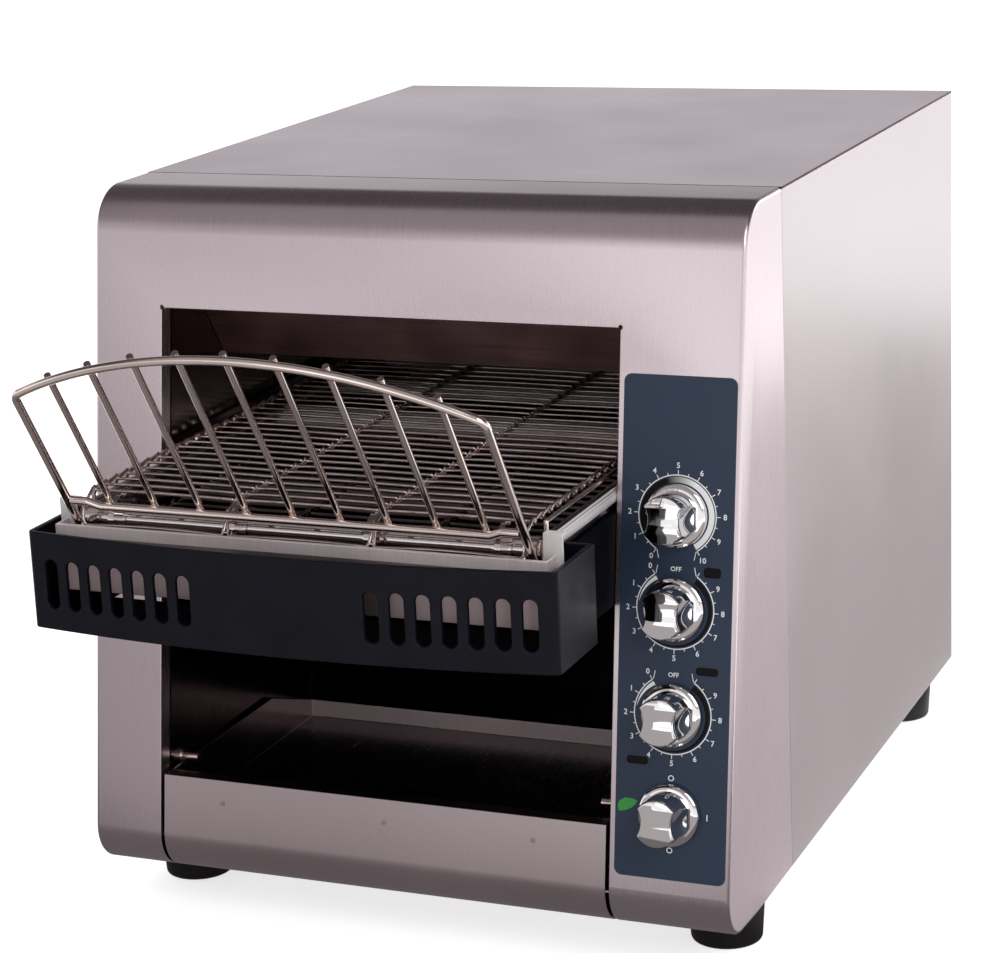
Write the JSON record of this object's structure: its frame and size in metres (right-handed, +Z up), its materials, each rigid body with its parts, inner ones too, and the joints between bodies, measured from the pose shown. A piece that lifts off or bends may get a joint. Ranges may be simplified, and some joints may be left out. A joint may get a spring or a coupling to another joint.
{
  "type": "conveyor toaster",
  "caption": "Countertop conveyor toaster with a wire belt, slanted wire loading rack, slotted front guard, dial controls and a slide-out crumb tray.",
  "frame": {"origin": "on the counter, below the middle of the outer size", "axes": "+X towards the control side, +Y towards the back, +Z up"},
  "size_m": [0.368, 0.6172, 0.398],
  "materials": {
    "steel": "fine brushed stainless sheet",
    "pan_steel": "plain mill-finish steel sheet",
    "lane_steel": "stainless sheet darkened by heat",
    "bright": "bright nickel-chrome plate",
    "polished_steel": "polished stainless",
    "belt_steel": "stainless wire browned by heat",
    "knob_metal": "satin chrome knob",
    "guard_black": "glossy black moulding",
    "foot_rubber": "black rubber",
    "plate_slate": "satin slate-blue control plate",
    "quartz": "clear quartz",
    "coil": "heating wire",
    "ceramic": "white steatite ceramic",
    "bronze": "sintered bronze",
    "black_plastic": "black nylon",
    "brown_plastic": "brown phenolic",
    "white_plastic": "white nylon",
    "motor_grey": "grey enamel",
    "chain_steel": "oiled steel",
    "loom": "glass-fibre sleeve"
  },
  "bodies": {
    "casing": {"base_pan": "pan_steel", "front_panel": "steel", "top_cover": "steel", "left_side_panel": "steel", "right_side_panel": "steel", "back_panel": "pan_steel", "feet": "foot_rubber", "foot_bolts": "bright", "control_plate": "plate_slate", "left_lane_wall": "lane_steel", "right_lane_wall": "lane_steel", "lane_ceiling": "lane_steel", "front_baffle": "lane_steel", "rear_chute": "lane_steel", "toast_slide": "lane_steel", "tray_runners": "pan_steel", "tray_pins": "bright", "upper_heater_tubes": "quartz", "lower_heater_tubes": "quartz", "heater_coils": "coil", "heater_end_caps": "ceramic", "left_side_plate": "polished_steel", "right_side_plate": "polished_steel", "conveyor_spacers": "pan_steel", "shaft_bushings": "bronze", "wire_belt": "belt_steel", "belt_edge_guides": "bright", "slotted_guard": "guard_black", "feed_plate": "polished_steel", "rack_sockets": "bright", "drive_chain": "chain_steel", "gear_motor": "motor_grey", "motor_bracket": "pan_steel", "cooling_fan_frame": "black_plastic", "terminal_block": "white_plastic", "cord_bushing": "black_plastic", "control_switches": "brown_plastic", "panel_screws": "bright", "wiring_loom": "loom"},
    "front_roller": {"front_shaft": "polished_steel", "front_sprockets": "polished_steel", "front_spacer_tubes": "polished_steel"},
    "rear_roller": {"rear_shaft": "polished_steel", "rear_sprockets": "polished_steel", "rear_spacer_tubes": "polished_steel", "drive_sprocket": "chain_steel"},
    "motor_output": {"motor_sprocket": "chain_steel"},
    "fan": {"cooling_fan_rotor": "black_plastic"},
    "wire_rack": {"rack_hoop": "bright", "rack_cross_rod": "bright", "rack_wires": "bright"},
    "tray": {"crumb_tray": "steel"},
    "speed_control": {"speed_knob": "knob_metal", "speed_spindle": "pan_steel"},
    "top_heat_control": {"top_heat_knob": "knob_metal", "top_heat_spindle": "pan_steel"},
    "bottom_heat_control": {"bottom_heat_knob": "knob_metal", "bottom_heat_spindle": "pan_steel"},
    "power_control": {"power_knob": "knob_metal", "power_spindle": "pan_steel"}
  },
  "joints": [
    {"name": "rear_roller_spin", "type": "hinge", "parent": "casing", "child": "rear_roller", "pos_m": [-0.012, 0.23867, 0.248], "axis": [1, 0, 0], "continuous": true},
    {"name": "front_roller_spin", "type": "hinge", "parent": "casing", "child": "front_roller", "pos_m": [-0.012, -0.22637, 0.248], "axis": [1, 0, 0], "continuous": true},
    {"name": "motor_output_spin", "type": "hinge", "parent": "casing", "child": "motor_output", "pos_m": [0.13, 0.23067, 0.15], "axis": [1, 0, 0], "continuous": true},
    {"name": "fan_spin", "type": "hinge", "parent": "casing", "child": "fan", "pos_m": [0.1519, 0.29243, 0.078], "axis": [0, 1, 0], "continuous": true},
    {"name": "crumb_tray_slide", "type": "slide", "parent": "casing", "child": "tray", "axis": [0, -1, 0], "range_m": [0, 0.15]},
    {"name": "wire_rack_lift", "type": "slide", "parent": "casing", "child": "wire_rack", "axis": [0, -0.5388, 0.8425], "range_m": [0, 0.024]},
    {"name": "speed_knob_turn", "type": "hinge", "parent": "casing", "child": "speed_control", "pos_m": [0.1518, -0.14193, 0.2445], "axis": [0, -0.9885, 0.1513], "range_deg": [-150, 150]},
    {"name": "top_heat_knob_turn", "type": "hinge", "parent": "casing", "child": "top_heat_control", "pos_m": [0.1518, -0.14913, 0.1975], "axis": [0, -0.9885, 0.1513], "range_deg": [0, 325]},
    {"name": "bottom_heat_knob_turn", "type": "hinge", "parent": "casing", "child": "bottom_heat_control", "pos_m": [0.1518, -0.15731, 0.144], "axis": [0, -0.9885, 0.1513], "range_deg": [0, 325]},
    {"name": "power_knob_turn", "type": "hinge", "parent": "casing", "child": "power_control", "pos_m": [0.1518, -0.16512, 0.093], "axis": [0, -0.9885, 0.1513], "range_deg": [-270, 0]}
  ],
  "couplings": [
    {"joint": "front_roller_spin", "follows": "rear_roller_spin", "ratio": 1},
    {"joint": "motor_output_spin", "follows": "rear_roller_spin", "ratio": 1.3333}
  ]
}
